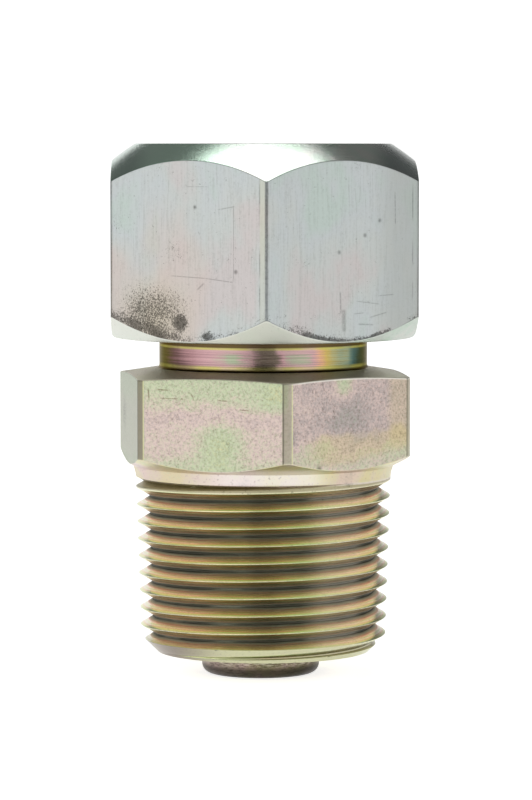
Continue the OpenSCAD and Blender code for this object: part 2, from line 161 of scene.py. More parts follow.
class VentCapCap(bpy.types.PropertyGroup):
    across_flats: size("Across flats", "Size of the cap's hexagon across its flats", 31.75)
    turned_d: size("Turned diameter", "Diameter to which the corners are turned", 36.5)
    low: size("Lower rim height", "Height of the rim over the pipe thread's end face", 33.15)
    high: size("Top height", "Height of the top over the pipe thread's end face", 53.45)
    top_d: size("Top diameter", "Diameter of the flat top inside the chamfer", 26.96)
    top_chamfer_h: size("Top chamfer", "Height of the top chamfer at the corners", 3.84)
    bulge: size("Chamfer bulge", "How far the top chamfer stands out in its middle", 0.16)
    rim_d: size("Rim diameter", "Diameter of the lower rim", 31.9)
    low_chamfer_h: size("Lower chamfer", "Height of the lower chamfer at the corners", 2.43)
    rim_r: size("Rim radius", "Rounding of the lower rim", 0.35)
    mouth_d: size("Mouth diameter", "Diameter of the threaded bore's chamfered mouth", 27.79)
    pack_d: size("Recess diameter", "Diameter of the recess for the screen pack", 24.8)
    shoulder: size("Shoulder height", "Height of the shoulder over the screen", 48.95)
    outlet_d: size("Outlet diameter", "Diameter of the space over the screen", 19.0)
    outlet_h: size("Outlet height", "Height of the roof of that space", 50.2)
    hole_d: size("Vent hole", "Diameter of the hole in the top", 12.0)
    hole_edge: size("Hole chamfer", "Chamfer at the vent hole's outer edge", 0.4)
    top_edge: size("Top edge", "Distance over which the edge of the flat top is rounded", 0.06)
    edge: size("Broken edge", "Distance over which the milled edges are rounded", 0.07)
    turn: FloatProperty(name="Turn", description="Turn of a corner from the front", subtype='ANGLE',
                        default=math.radians(1.1), min=-0.6, max=0.6)


class VentCapSmallParts(bpy.types.PropertyGroup):
    spring_low: size("Spring, low", "Height of the spring's lower end", 2.0)
    spring_high: size("Spring, high", "Height of the spring's upper end", 22.7)
    spring_d: size("Spring diameter", "Mean diameter of the spring", 9.4)
    spring_wire: size("Spring wire", "Diameter of the spring's wire", 1.2)
    spring_coils: IntProperty(name="Coils", description="Coils of the spring", default=9, min=4, max=20)
    cup_d: size("Cup diameter", "Outer diameter of the spring cup", 12.4)
    cup_recess_d: size("Cup recess", "Diameter of the recess for the lock nut", 9.4)
    cup_recess_h: size("Cup recess height", "Depth of the recess for the lock nut", 2.8)
    cup_web_h: size("Cup web", "Thickness of the web over the lock nut", 1.6)
    cup_web_hole_d: size("Cup hole", "Diameter of the hole in the web", 4.7)
    cup_in_d: size("Cup inside", "Diameter of the cup's inside round the spring", 11.2)
    cup_shift: size("Cup shift", "How far the loose cup lies off the axis, to the left", 0.28)
    cup_edge: size("Cup edge", "Rounding of the cup's lower edge", 1.0)
    screen_wire: size("Screen wire", "Diameter of the screen's wire", 0.2)
    screen_pitch: size("Screen pitch", "Distance between neighbouring wires", 0.9)
    screen_rim: size("Screen rim", "Width of the rolled rim", 0.8)
    screen_held: size("Held length", "How far the wires reach into the rim", 0.3)
    screen_edge: size("Rim edge", "Distance over which the rim's edges are rounded", 0.08)
    cup_mouth: size("Cup mouth edge", "Distance over which the cup's upper edge is rounded", 0.1)


class VentCapColours(bpy.types.PropertyGroup):
    zinc: tint("Zinc", "Clear zinc on the cap", "BEC2C0")
    zinc_cool: tint("Zinc, bluish", "Bluish tint of the clear zinc", "BDC2C3")
    zinc_warm: tint("Zinc, pinkish", "Pinkish tint of the clear zinc", "C3BDBC")
    zinc_green: tint("Zinc, greenish", "Greenish tint of the clear zinc", "B8C3BE")
    dirt: tint("Dirt", "Dark stains on the cap", "3A3732")
    straw: tint("Film, straw", "Straw tint of the yellow zinc", "D6CDA0")
    leaf: tint("Film, green", "Green tint of the yellow zinc", "C0CBAA")
    rose: tint("Film, pink", "Pink tint of the yellow zinc", "D9C4BE")
    mauve: tint("Film, mauve", "Mauve tint of the yellow zinc", "B4A9A6")
    teal: tint("Film, teal", "Dark teal tint of the yellow zinc", "567470")
    olive: tint("Thread, olive", "Olive tint of the threads", "D2CAA4")
    bronze: tint("Thread, bronze", "Bronze tint of the threads", "C8BA9E")
    brass: tint("Brass", "Turned brass", "D9B66A")
    stainless: tint("Stainless steel", "Stainless steel", "BFBDB8")
    black_steel: tint("Blackened steel", "Oil blackened spring steel", "34343A")
    rubber: tint("Rubber", "Nitrile rubber", "1B1B1C")
    fibre: tint("Fibre", "Vulcanised fibre", "46524A")
    floor: tint("Floor", "Floor and backdrop", "F4F4F2")


class VentCapSettings(bpy.types.PropertyGroup):
    pipe_thread: PointerProperty(name="Pipe thread", type=VentCapPipeThread)
    body: PointerProperty(name="Body", type=VentCapBody)
    bore: PointerProperty(name="Bore", type=VentCapBore)
    cap_thread: PointerProperty(name="Cap thread", type=VentCapCapThread)
    cap: PointerProperty(name="Cap", type=VentCapCap)
    small: PointerProperty(name="Small parts", type=VentCapSmallParts)
    colours: PointerProperty(name="Colours", type=VentCapColours)


# ---------------------------------------------------------------- shapes

def column_angles(turn):
    """Angles of the mesh columns, from the front (-Y) towards +X, closest at the six corners."""
    corner = [-2.4, -1.95, -1.72, -1.56, -1.4, -1.0, -0.5, 0.0, 0.5, 1.0, 1.4, 1.56, 1.72, 1.95, 2.4]
    sixth = np.concatenate([corner, np.linspace(2.4, 57.6, 29)[1:-1]])
    all_round = np.concatenate([(math.degrees(turn) + 60 * i + sixth) % 360 for i in range(6)])
    return np.radians(np.sort(all_round))


def hexagon_radius(angles, turn, across_flats, turned_d):
    """Radius of a hexagon whose corners are turned off, with the edges between them slightly soft."""
    from_flat = (angles - turn - math.radians(30)) % math.radians(60)
    from_flat = np.where(from_flat > math.radians(30), from_flat - math.radians(60), from_flat)
    flat = across_flats / 2 / np.cos(from_flat)
    soft = 0.00002
    return -soft * np.logaddexp(-flat / soft, -turned_d / 2 / soft)


# The rows beside a rounded corner lie this many times its edge away, so that the shading stays flat
ROW_GAP = 2.2


def rows_through(knots, count):
    """Rows of (radius, height) along straight legs between knots.

    A knot is (radius, height, edge, parts): edge rounds the corner there, and parts divides the leg
    that follows. Radius and height are numbers, or arrays with one value for each column."""
    points = [np.array([np.broadcast_to(np.asarray(k[0], float), (count,)),
                        np.broadcast_to(np.asarray(k[1], float), (count,))]) for k in knots]
    rows = [points[0]]
    for i in range(1, len(points)):
        start, end = rows[-1], points[i]
        way_in = (end - points[i - 1]) / np.maximum(np.linalg.norm(end - points[i - 1], axis=0), TINY)
        edge = knots[i][2]
        reach = ROW_GAP * edge if edge else 0.0
        stop = end - reach * way_in
        parts = knots[i - 1][3]
        rows += [start + (stop - start) * j / parts for j in range(1, parts + 1)]
        if edge and i + 1 < len(points):
            way_out = points[i + 1] - end
            way_out = way_out / np.maximum(np.linalg.norm(way_out, axis=0), TINY)
            first, last = end - edge * way_in, end + edge * way_out
            rows += [first * (1 - t) ** 2 + end * 2 * t * (1 - t) + last * t ** 2 for t in (0, 1 / 3, 2 / 3, 1)]
            rows.append(end + reach * way_out)
    return np.array([row[0] for row in rows]), np.array([row[1] for row in rows]), 0


def trimmed(radius, height, excess):
    """Moves the point nearest to each crossing of excess = 0 on to it, so that the new edge is crisp."""
    over = excess(radius, height)
    before, after = over[:-1], over[1:]
    crossing = before * after < 0
    share = np.where(crossing, before / np.where(crossing, before - after, 1), 0)
    r_at = radius[:-1] + share * (radius[1:] - radius[:-1])
    z_at = height[:-1] + share * (height[1:] - height[:-1])
    r_new, z_new = radius.copy(), height.copy()
    for near, rows in ((share < 0.5, slice(None, -1)), (share >= 0.5, slice(1, None))):
        chosen = crossing & near
        r_new[rows][chosen] = r_at[chosen]
        z_new[rows][chosen] = z_at[chosen]
    return r_new, z_new


def thread_rows(angles, pitch, depth_at, crest_at, root_flat, centre, turns):
    """Rows of a right-hand thread: every column runs over all turns, and the seam joins one turn on.

    centre is the height of the first groove's middle at angle 0, and depth_at and crest_at give the
    groove's depth and the crest's radius at a height."""
    middle = centre + pitch * (angles / TAU + np.arange(turns)[:, None])
    depth = depth_at(middle)
    # A groove shallower than this has its edges rounded less
    shallow = 0.0003
    scale = np.minimum(depth / shallow, 1)
    half = root_flat / 2 + depth * TAN30
    # From the middle of a crest over its rounding and down the flank: (distance past the crest's edge, depth)
    crest = [(-0.000005, 0.000006), (0.000013, 0.000030), (0.000031, 0.0000537)]
    shares = (0.28, 0.5, 0.72, 0.93, 1.0)
    side = [(half - past * scale, deep * scale) for past, deep in crest]
    side += [(root_flat / 2 + (1 - share) * depth * TAN30, share * depth) for share in shares]
    rows = [(middle - pitch / 2, np.zeros_like(middle))]
    rows += [(middle - out, deep) for out, deep in side]
    rows += [(middle, depth)]
    rows += [(middle + out, deep) for out, deep in reversed(side)]
    height = np.stack([row[0] for row in rows], axis=1).reshape(-1, len(angles))
    deep = np.stack([row[1] for row in rows], axis=1).reshape(-1, len(angles))
    return crest_at(height) - deep, height, len(rows)


def closed_ends(radius, height, step, low, high):
    """Brings all that lies beyond the two end circles (radius, height) on to them."""
    for (r_end, z_end), sign in ((low, -1), (high, 1)):
        radius, height = trimmed(radius, height, lambda r, z: sign * (z - z_end))
        beyond = sign * (height - z_end) > TINY
        radius, height = np.where(beyond, r_end, radius), np.where(beyond, z_end, height)
    return radius, height, step


def new_piece(name, vertices, faces):
    """Mesh object with merged points, outward normals and smooth shading between its crisp edges."""
    mesh = bpy.data.meshes.new(name)
    mesh.from_pydata([tuple(v) for v in vertices], [], faces)
    bm = bmesh.new()
    bm.from_mesh(mesh)
    bmesh.ops.remove_doubles(bm, verts=bm.verts, dist=2e-7)
    bmesh.ops.dissolve_degenerate(bm, edges=bm.edges, dist=1e-8)
    bmesh.ops.recalc_face_normals(bm, faces=bm.faces)
    bm.to_mesh(mesh)
    bm.free()
    mesh.shade_smooth()
    mesh.set_sharp_from_angle(angle=math.radians(42))
    piece = bpy.data.objects.new(name, mesh)
    bpy.context.scene.collection.objects.link(piece)
    return piece


def turned_piece(name, angles, blocks, shift=0.0):
    """Closed piece from blocks of rows round the axis; a thread's block gains rows at the seam."""
    vertices, faces = [], []
    for radius, height, step in blocks:
        rows, columns = radius.shape
        base = len(vertices)
        x, y = radius * np.sin(angles) + shift, -radius * np.cos(angles)
        vertices += np.stack([x, y, height], axis=-1).reshape(-1, 3).tolist()
        for i in range(rows - 1):
            here, above = base + i * columns, base + (i + 1) * columns
            faces += [(here + c, here + c + 1, above + c + 1, above + c) for c in range(columns - 1)]
            over = [base + min(j + step, rows - 1) * columns for j in (i, i + 1)]
            faces.append((here + columns - 1, over[0], over[1], above + columns - 1))
    return new_piece(name, vertices, faces)


def tubes(name, paths, wire, sides):
    """Round wires along lists of points, with closed ends."""
    vertices, faces = [], []
    for path in paths:
        path = np.asarray(path, float)
        ahead = np.gradient(path, axis=0)
        ahead /= np.linalg.norm(ahead, axis=1)[:, None]
        up = np.array([0.0, 0.0, 1.0])
        across = np.cross(ahead, up)
        across /= np.linalg.norm(across, axis=1)[:, None]
        third = np.cross(across, ahead)
        base, n = len(vertices), len(path)
        for k in range(sides):
            a = TAU * k / sides
            vertices += (path + wire / 2 * (across * math.cos(a) + third * math.sin(a))).tolist()
        for k in range(sides):
            one, two = base + k * n, base + (k + 1) % sides * n
            faces += [(one + i, one + i + 1, two + i + 1, two + i) for i in range(n - 1)]
        faces.append([base + k * n for k in range(sides)])
        faces.append([base + k * n + n - 1 for k in reversed(range(sides))])
    return new_piece(name, vertices, faces)


def set_finishes(piece, materials, choose=None):
    """Puts the materials in the piece's slots; choose gives the slot of a face from its middle and normal."""
    piece.data.materials.clear()
    for material in materials:
        piece.data.materials.append(material)
    if choose:
        for face in piece.data.polygons:
            x, y, z = face.center
            face.material_index = choose(math.hypot(x, y), z, face.normal.z)


# ---------------------------------------------------------------- finishes

class Finish:
    """A material being made: its node tree, its shader, and the place on the piece in millimetres.

    Sums and shares take parts. A part is a number, a socket, or a smooth step: (value, low, high) goes
    from 0 to 1, and (value, low, high, first, last) from first to last. Low may lie above high."""

    def __init__(self, name):
        self.material = bpy.data.materials.new(name)
        self.material.use_nodes = True
        self.tree = self.material.node_tree
        self.shader = self.tree.nodes["Principled BSDF"]

    def feed(self, node, links):
        """Links a node's sockets to other sockets, or sets them to values; a colour may be sRGB hex."""
        for socket, source in links.items():
            target = node.inputs[socket]
            if isinstance(source, bpy.types.NodeSocket):
                self.tree.links.new(source, target)
            elif target.type == 'RGBA':
                target.default_value = (*linear(source), 1.0)
            else:
                target.default_value = source

    def add(self, kind, links=None, out=0, stops=(), **settings):
        """Adds one node with its settings and links, and gives its output socket."""
        node = self.tree.nodes.new("ShaderNode" + kind)
        for key, value in settings.items():
            setattr(node, key, value)
        for i, (place, colour) in enumerate(stops):
            elements = node.color_ramp.elements
            element = elements[i] if i < 2 else elements.new(place)
            element.position, element.color = place, (*linear(colour), 1.0)
        self.feed(node, links or {})
        return node.outputs[out]

    @cached_property
    def position(self):
        """Place on the piece."""
        return self.add("VectorMath", {0: self.add("TexCoord", out=3), "Scale": 1000.0}, operation="SCALE")

    @cached_property
    def xyz(self):
        """Its three parts."""
        return list(self.add("SeparateXYZ", {0: self.position}).node.outputs)

    @cached_property
    def radius(self):
        """Distance from the axis."""
        level = self.add("VectorMath", {0: self.position, 1: (1, 1, 0)}, operation="MULTIPLY")
        return self.add("VectorMath", {0: level}, out=1, operation="LENGTH")

    @cached_property
    def azimuth(self):
        """Angle round the axis, from the front towards +X."""
        x, y, _ = self.xyz
        return self.add("Math", {0: x, 1: self.share(y, -1.0)}, operation="ARCTAN2")

    def joined(self, operation, parts):
        """One value from several parts by one operation, in order."""
        parts = [self.add("MapRange", dict(enumerate(part)), interpolation_type="SMOOTHSTEP")
                 if isinstance(part, tuple) else part for part in parts]
        result = parts[0]
        for part in parts[1:]:
            result = self.add("Math", {0: result, 1: part}, operation=operation)
        return result

    def share(self, *parts):
        """Product of the parts."""
        return self.joined("MULTIPLY", parts)

    def total(self, *parts):
        """Sum of the parts."""
        return self.joined("ADD", parts)

    def most(self, *parts):
        """Greatest of the parts."""
        return self.joined("MAXIMUM", parts)

    def swing(self, pattern, amount):
        """How far a pattern lies from its average of 0.5, times an amount."""
        return self.share(self.total(pattern, -0.5), amount)

    def off(self, value, middle=0.0):
        """Distance of a value from a middle."""
        return self.add("Math", {0: self.total(value, -middle) if middle else value}, operation="ABSOLUTE")

    def grain(self, scale, detail=2.0, roughness=0.5, stretch=(1, 1, 1)):
        """Noise of a given grain count a millimetre, stretched along the axes; about 0.5 on average."""
        stretched = self.add("VectorMath", {0: self.position, 1: stretch}, operation="MULTIPLY")
        return self.add("TexNoise", {"Vector": stretched, "Scale": scale, "Detail": detail,
                                     "Roughness": roughness})

    def patches(self, *spots):
        """Sum of soft round patches on the surface, each a centre, its reach and its depth there."""
        return self.total(*[
            (self.add("VectorMath", {0: self.position, 1: centre}, out=1, operation="DISTANCE"),
             reach, 0.0, 0.0, depth) for centre, reach, depth in spots])

    def scratches(self, *lines):
        """Sum of thin lines on the front, each (x, z) to (x, z) with its width in millimetres."""
        x, _, z = self.xyz
        place = self.add("CombineXYZ", {0: x, 1: z})
        marks = []
        for start, end, width in lines:
            run = (Vector(end) - Vector(start)).to_3d()
            length, ahead = run.length, run.normalized()
            from_start = self.add("VectorMath", {0: place, 1: (*start, 0.0)}, operation="SUBTRACT")
            along, aside = (self.add("VectorMath", {0: from_start, 1: way}, out=1, operation="DOT_PRODUCT")
                            for way in (ahead, (-ahead.y, ahead.x, 0.0)))
            marks.append(self.share((self.off(aside), width * 1.6, width * 0.4), (along, -0.1, 0.2),
                                    (along, length + 0.1, length - 0.2)))
        return self.total(*marks)

    def past_corner(self, turn):
        """Degrees past the nearest corner of a hexagon."""
        sixth = self.add("Math", {0: self.total(self.azimuth, TAU / 12 - turn), 1: TAU / 6, 2: 0.0},
                         operation="WRAP")
        return self.total(self.share(sixth, 180 / math.pi), -30.0)

    def over(self, colour, *layers, way='MIX'):
        """Lays colours over a colour, one after the other; a layer is a colour and the parts of its share."""
        for tone, *parts in layers:
            colour = self.add("Mix", {0: self.share(*parts), 6: colour, 7: tone}, out=2, data_type='RGBA',
                              blend_type=way, clamp_result=True)
        return colour

    def toned(self, colour, pattern, *stops):
        """Colour times tones that follow a pattern."""
        return self.over(colour, (self.add("ValToRGB", {0: pattern}, stops=stops), 1.0), way='MULTIPLY')

    def finished(self, colour, rough, height, strength, depth, metallic=1.0, more=None):
        """Feeds the shader, with a bump that is depth millimetres high, and gives the material."""
        bump = self.add("Bump", {"Height": height, "Strength": strength, "Distance": depth / 1000})
        self.feed(self.shader, {"Base Color": colour, "Metallic": metallic, "Roughness": rough, "Normal": bump,
                                **(more or {})})
        return self.material


def clear_zinc_flats(sizes, colours):
    """Clear chromated zinc over hexagon bar as it was drawn: fine upright lines, handling marks, dark dirt."""
    f = Finish("Clear chromated zinc, drawn hexagon bar")
    x, y, z = f.xyz
    cloud, coarse = f.grain(0.17, 3.0, stretch=(1, 1, 0.6)), f.grain(0.33)
    drift = f.grain(0.13, stretch=(1, 1, 0.5))
    colour = f.add("ValToRGB", {0: f.total(cloud, (z, 40.2, 51.2, 0.0, -0.08))}, stops=[
        (0.30, colours.zinc_green), (0.40, colours.zinc_cool), (0.50, colours.zinc), (0.62, colours.zinc_warm)])
    colour = f.over(colour, ("C9BBB4", (x, 1.0, -3.0), (z, 50.2, 42.2), (drift, 0.40, 0.62), 0.55))
    # Upright lines of the drawn bar, drawn about 0.2 mm apart so that they show
    lines = f.grain(1.0, 3.0, 0.65, (5.5, 5.5, 0.3))
    sand = f.grain(3.6, 3.0, 0.8)
    texture = f.total(f.share(lines, 0.6), f.share(sand, 0.4))
    colour = f.toned(colour, texture, (0.34, (0.80, 0.80, 0.79)), (0.50, 0.97), (0.62, 1.0))
    specks = (f.grain(2.7, 3.0, 0.8), 0.65, 0.71)
    # A yellowish patch low on the left, a rubbed, yellowish strip left of each corner, and painted shade towards
    # the right side
    past_corner = f.past_corner(sizes.turn)
    colour = f.over(
        colour, (colours.dirt, specks, 0.5), ("C6BDA2", f.patches(((-11.0, -12.2, 35.4), 6.5, 0.5))),
        ("C0C1AE", (past_corner, -2.3, -2.0), (past_corner, -0.3, -0.6), (drift, 0.25, 0.6, 0.2, 0.55),
         (y, -12.0, -14.0)),
        ("A3A6A3", (x, 10.5, 14.0, 0.0, 0.55)))
    # Dirt that gathers over the lower arcs, and oily smudges on the flats
    slope = sizes.low_chamfer_h / (sizes.turned_d / 2 - sizes.rim_d / 2)
    over_arc = f.total(z, f.share(f.radius, -slope), 1000 * (slope * sizes.rim_d / 2 - sizes.low))
    amount = f.total(
        f.share((over_arc, 1.7, 0.0), (coarse, 0.30, 0.56)),
        f.share((over_arc, 0.9, 0.1), (x, 3.4, 5.0), (x, 14.0, 12.0), 1.25),
        f.patches(((-8.4, -13.5, 35.2), 1.35, 1.35), ((-5.6, -14.9, 33.9), 1.1, 1.15),
                  ((-11.4, -11.9, 34.6), 7.2, 0.86), ((-12.6, -11.3, 37.4), 5.6, 0.48),
                  ((-8.6, -13.3, 37.2), 3.6, 0.45), ((-9.0, -13.2, 42.5), 3.0, 0.64),
                  ((4.3, -15.7, 41.4), 1.3, 0.62), ((-14.6, -9.6, 45.2), 3.4, 0.58),
                  ((-10.5, -12.5, 51.2), 1.4, 0.66), ((9.6, -12.8, 51.2), 1.4, 0.70),
                  ((7.6, -13.9, 34.6), 2.2, 0.40), ((8.0, -13.7, 36.2), 1.6, 0.50),
                  ((10.4, -12.3, 35.8), 3.0, 0.40), ((4.0, -15.9, 35.2), 2.2, 0.5)))
    dots = f.total(f.grain(6.4, 3.0, 0.85, (1.0, 1.0, 0.85)), f.share(amount, 0.27), -0.76)
    # Each corner is a thin dark line
    seam = f.share((f.off(f.total(past_corner, f.swing(coarse, 0.3))), 0.70, 0.28),
                   (cloud, 0.3, 0.6, 0.35, 0.6))
    border = f.share((f.off(past_corner, -2.2), 0.28, 0.06), (coarse, 0.42, 0.60), 0.45)
    # Scratches and knocks from handling
    scratched = f.scratches(
        ((-2.98, 47.1), (-2.98, 39.6), 0.035), ((-4.57, 46.75), (-2.85, 47.1), 0.05),
        ((-9.4, 40.0), (-5.9, 39.8), 0.05), ((-5.9, 39.8), (-3.05, 39.45), 0.05),
        ((-7.85, 49.07), (-5.6, 49.07), 0.035), ((-6.7, 38.6), (-6.0, 39.3), 0.08),
        ((13.5, 48.5), (13.55, 45.2), 0.05), ((9.5, 37.4), (11.9, 37.05), 0.05),
        ((7.85, 38.4), (7.9, 36.2), 0.08), ((8.2, 36.6), (8.25, 34.3), 0.17), ((9.2, 36.1), (10.3, 36.2), 0.05),
        ((10.9, 35.7), (12.7, 36.2), 0.06), ((9.7, 35.05), (11.3, 34.95), 0.07),
        ((11.8, 37.9), (13.4, 38.0), 0.05))
    knocks = f.patches(*[(centre, 0.34, 0.7) for centre in (
        (10.4, -12.3, 44.1), (11.95, -11.4, 45.6), (7.75, -13.9, 42.4), (-6.9, -14.3, 47.0),
        (-2.75, -16.6, 40.5))])
    dirty = f.most((dots, -0.05, 0.07), (over_arc, 0.20, 0.04, 0.0, 0.8), f.total(seam, border),
                   f.total(f.share(scratched, (y, -5.0, -7.0, 0.0, 0.42), (sand, 0.36, 0.50)), knocks))
    colour = f.over(colour, (colours.dirt, dirty, (sand, 0.25, 0.60, 0.95, 0.60)))
    rough = f.total(0.34, f.share(lines, 0.10), f.share(dirty, 0.25), f.share(seam, 0.15))
    height = f.total(f.share(lines, 0.6), f.share(sand, 0.8), f.share(specks, -0.6))
    return f.finished(colour, rough, height, 0.30, 0.02)


def clear_zinc_turned(colours):
    """Clear chromated zinc on a turned face: smooth and mirror-like, with a grainy haze."""
    f = Finish("Clear chromated zinc, turned")
    x, y, z = f.xyz
    colour = f.add("ValToRGB", {0: f.grain(0.35, 3.0)}, stops=[
        (0.35, "B6C6B8"), (0.5, "C0C8C0"), (0.65, "C8C9C3")])
    # The top chamfer is greener on its left, with painted dark reflections at its far right and far left; the
    # lower one has a painted pale reflection in front and on the left
    upper, haze = (z, 42.0, 46.0), f.grain(3.2, 4.0, 0.85)
    colour = f.over(
        colour, ("C8E2D0", upper, (x, -2.0, -6.0), 0.9), ("5E666A", upper, (x, 10.5, 13.5), 0.7),
        ("8C9C96", upper, (x, -11.0, -14.0), 0.6),
        ("DFE0D8", (z, 36.2, 35.6), f.total((y, -14.0, -15.5), (x, -6.0, -8.0)), 0.75),
        (colours.dirt, (haze, 0.60, 0.72), 0.35))
    rough = f.total(0.08, f.share(haze, 0.18), (z, 36.2, 35.2, 0.0, 0.26))
    return f.finished(colour, rough, haze, 0.5, 0.03)


def yellow_zinc_flats(sizes, crown_z, colours):
    """Yellow chromated zinc over a milled hexagon: pale green and pink clouds under a fine sandy grain."""
    f = Finish("Yellow chromated zinc, milled hexagon")
    x, y, z = f.xyz
    cloud = f.grain(0.24, 3.0, 0.6, (1, 1, 1.3))
    sand = f.grain(3.4, 4.0, 0.9)
    other = f.grain(3.0, 3.0, 0.9, (1.1, 1.1, 1.1))
    # Left of the front corner the film runs in bands, from green at the top over lilac and pink to straw below
    drift = f.total(z, f.swing(cloud, 4.0))
    banded = f.total(0.38, (drift, 28.2, 25.4, 0.0, 0.23), (drift, 25.2, 24.0, 0.0, -0.06),
                     (drift, 22.0, 20.0, 0.0, -0.14),
                     f.patches(((-4.6, -14.3, 22.5), 4.2, -0.28), ((2.0, -15.2, 28.0), 3.0, -0.14)))
    mottled = f.total(0.43, f.share(cloud, 0.42), (drift, 23.6, 22.0, 0.0, -0.16),
                      f.patches(((8.6, -12.0, 25.6), 5.0, 0.08), ((8.4, -12.0, 29.2), 2.2, -0.30)))
    film = f.total(f.add("Mix", {0: f.share((x, 2.2, 2.9)), 2: banded, 3: mottled}), f.swing(other, 0.55))
    colour = f.add("ValToRGB", {0: film}, stops=[
        (0.14, colours.straw), (0.34, colours.leaf), (0.47, "CFCAB4"), (0.58, colours.rose),
        (0.74, colours.mauve), (0.84, "ACAAA0")])
    tilted = f.total(drift, f.share(x, -0.10))
    gold = f.total(f.share((tilted, 23.4, 22.2), (tilted, 19.6, 20.8), (x, 3.6, 6.5), 0.42),
                   f.share((x, 12.6, 13.6), (z, 21.5, 23.5), 0.3))
    colour = f.toned(f.over(colour, ("D2C290", gold)), sand, (0.34, 1.0), (0.48, 0.95),
                     (0.58, (0.73, 0.72, 0.71)), (0.70, (0.43, 0.41, 0.39)))
    spots = f.total(f.patches(((5.6, -13.6, 20.3), 0.60, 0.8)),
                    f.share(f.patches(((-15.6, 1.2, 25.0), 2.6, 1.2)), (other, 0.46, 0.60)))
    nicks = f.scratches(((-10.9, 28.3), (-9.7, 28.2), 0.07), ((-10.6, 27.4), (-8.1, 27.35), 0.05),
                        ((-7.4, 28.0), (-7.1, 27.3), 0.06), ((-4.6, 27.3), (-3.6, 27.25), 0.06),
                        ((-11.8, 28.4), (-11.7, 27.0), 0.08), ((-2.4, 26.4), (-1.2, 26.3), 0.05))
    # The left face is greyer; the turned corners are browner, with a painted highlight line along each side and
    # a dark line along one
    past_corner = f.past_corner(sizes.turn)
    browned = f.over("AFAB94", ("857664", (x, -8.0, -10.0)))
    # A painted highlight runs along the upper edge, on the right
    fall = sizes.crown_drop / (sizes.turned_d / 2 - sizes.neck_d / 2)
    over_edge = f.total(z, f.share(f.radius, fall), -1000 * (crown_z + fall * sizes.neck_d / 2))
    colour = f.over(
        colour, ("6A5A3C", nicks, (y, -5.0, -7.0), (other, 0.36, 0.52), 0.6),
        ("A3AB97", (x, -12.0, -12.6, 0.0, 0.75)), (browned, (f.off(past_corner), 2.1, 1.8), 0.6),
        ("DDE0A8", (f.off(past_corner, 1.75), 0.32, 0.1), 0.6),
        ("FBF8EC", (over_edge, -0.24, -0.10), (x, 2.0, 4.0), 0.85),
        ("4A463C", f.most(spots, f.share((past_corner, -1.15, -1.5), (past_corner, -2.05, -1.7), 0.62))))
    return f.finished(colour, f.total(0.28, f.share(sand, 0.18)), sand, 0.8, 0.03)


def yellow_zinc_turned(colours):
    """Yellow chromated zinc on a turned face: browner, with a fine sandy grain."""
    f = Finish("Yellow chromated zinc, turned")
    x, _, z = f.xyz
    sand = f.grain(4.0, 3.0, 0.7)
    colour = f.add("ValToRGB", {0: f.total(f.grain(0.22), f.swing(sand, 0.4))}, stops=[
        (0.28, colours.leaf), (0.42, colours.straw), (0.52, "D2CAB4"), (0.62, colours.rose),
        (0.78, colours.mauve)])
    crown = f.share((z, 28.8, 29.1), (z, 30.4, 30.1))
    collar = f.share((z, 20.4, 20.0), (z, 18.4, 18.7))
    # The crown is painted near white and the collar paler in its front middle, as painted light; the collar is
    # pinkish on its left and yellowish on its right
    colour = f.over(
        colour, ("F2EADC", crown, 0.85), ("EEE7E4", collar, (x, -9.0, -4.0), (x, 8.0, 4.0), 0.6),
        ("D2B8AE", collar, (x, -3.0, -6.0), 0.35), ("C2B08C", collar, (x, 5.0, 8.0), 0.4),
        ("6A5F48", (sand, 0.58, 0.72), 0.45))
    rough = f.total(0.26, f.share(sand, 0.14), f.share(crown, 0.16))
    return f.finished(colour, rough, sand, 0.35, 0.03)


def yellow_zinc_neck(colours):
    """Thick yellow chromate in the turned neck: saturated pink, purple, gold and teal, with fine rings, and
    painted highlight and shade towards its ends.
    """
    f = Finish("Yellow chromated zinc, finely turned neck")
    z = f.xyz[2]
    rings = f.grain(1.0, 3.0, 0.7, (0.05, 0.05, 9.0))
    cloud = f.grain(0.35, stretch=(1, 1, 0.4))
    share = f.total(f.share(f.azimuth, 1 / TAU), 0.5, f.swing(rings, 0.05), f.swing(cloud, 0.06))
    pink, purple, green, gold, leaf = "C69FA2", "7E7064", "A2AE90", "CBB163", "A9B096"
    colour = f.add("ValToRGB", {0: share}, stops=[
        (0.00, pink), (0.10, gold), (0.20, green), (0.265, "6E6A4C"), (0.312, "69623F"), (0.337, "7A5C5C"),
        (0.375, "B98F92"), (0.425, pink), (0.445, leaf), (0.462, leaf), (0.475, pink), (0.487, purple),
        (0.515, purple), (0.535, pink), (0.552, leaf), (0.568, pink), (0.59, "D9A98A"), (0.61, gold),
        (0.635, green), (0.648, "7C9282"), (0.665, colours.teal), (0.685, "3E5044"), (0.72, "3E4230"),
        (0.80, gold), (0.90, pink)])
    # The green patches are lens shaped; towards the two ends are painted gold highlights, with painted brown
    # shade beyond
    colour = f.over(
        colour, (pink, (f.off(z, 31.3), 0.32, 0.68), (f.off(f.off(f.azimuth), 0.31), 0.22, 0.15), 0.85),
        ("BBB562", f.total((z, 30.65, 30.42), (z, 32.18, 32.32)), (cloud, 0.3, 0.6, 0.45, 0.85)),
        ("57422E", f.total((z, 30.25, 30.1), (z, 32.42, 32.54)), 0.9))
    colour = f.toned(colour, rings, (0.3, 0.62), (0.6, 1.0))
    return f.finished(colour, 0.24, rings, 0.35, 0.03, more={"Specular Tint": "C6BFAC"})


